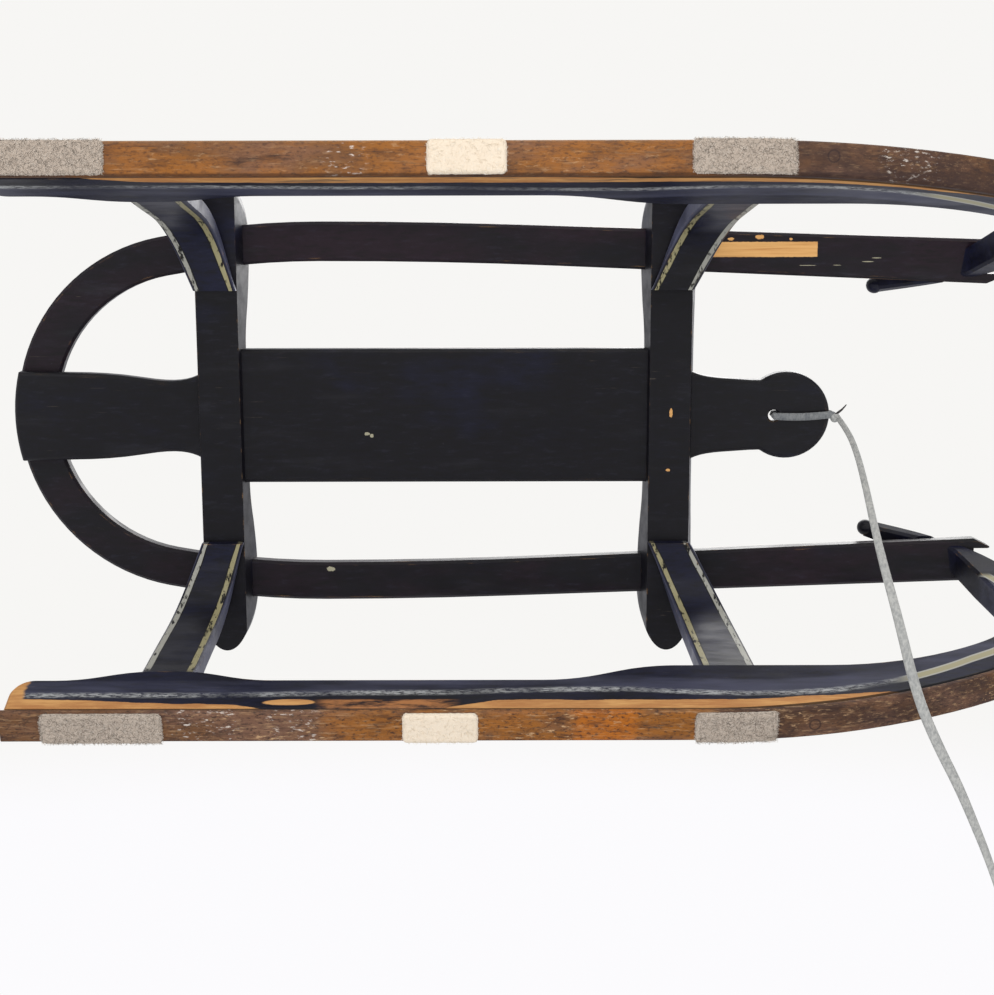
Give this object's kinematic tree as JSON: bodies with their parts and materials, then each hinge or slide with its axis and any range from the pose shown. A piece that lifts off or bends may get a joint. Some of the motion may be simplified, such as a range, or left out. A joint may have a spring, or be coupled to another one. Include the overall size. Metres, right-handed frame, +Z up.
{
  "type": "child's sled",
  "caption": "Child's wooden sled: leaning iron-shod runners that curl up into horns, bent knees, notched cross beams, a hooped seat strip, a middle slat and a pull cord.",
  "frame": {"origin": "middle of the sled's length and width, on the ground under the felt pads", "axes": "+X to the front where the runners curl up, +Y to the rider's left, +Z up as the sled stands on its runners"},
  "size_m": [0.7473, 0.5434, 0.2126],
  "materials": {
    "painted_wood": "worn satin paint",
    "iron": "brown rust",
    "grey_felt": "felt",
    "cream_felt": "felt",
    "cord": "woven lace"
  },
  "bodies": {
    "root": {"runner_left": "painted_wood", "runner_right": "painted_wood", "shoe_left": "iron", "shoe_right": "iron", "seat_hoop": "painted_wood", "seat_slat": "painted_wood", "beam_rear": "painted_wood", "beam_front": "painted_wood", "knee_rear_left": "painted_wood", "knee_rear_right": "painted_wood", "knee_front_left": "painted_wood", "knee_front_right": "painted_wood", "pad_rear_left": "grey_felt", "pad_rear_right": "grey_felt", "pad_middle_left": "cream_felt", "pad_middle_right": "cream_felt", "pad_front_left": "grey_felt", "pad_front_right": "grey_felt", "cord_loop": "cord", "cord_knot": "cord", "pull_cord": "cord", "cord_coil": "cord", "cord_tie": "cord", "cord_end_knot": "cord"}
  },
  "joints": []
}
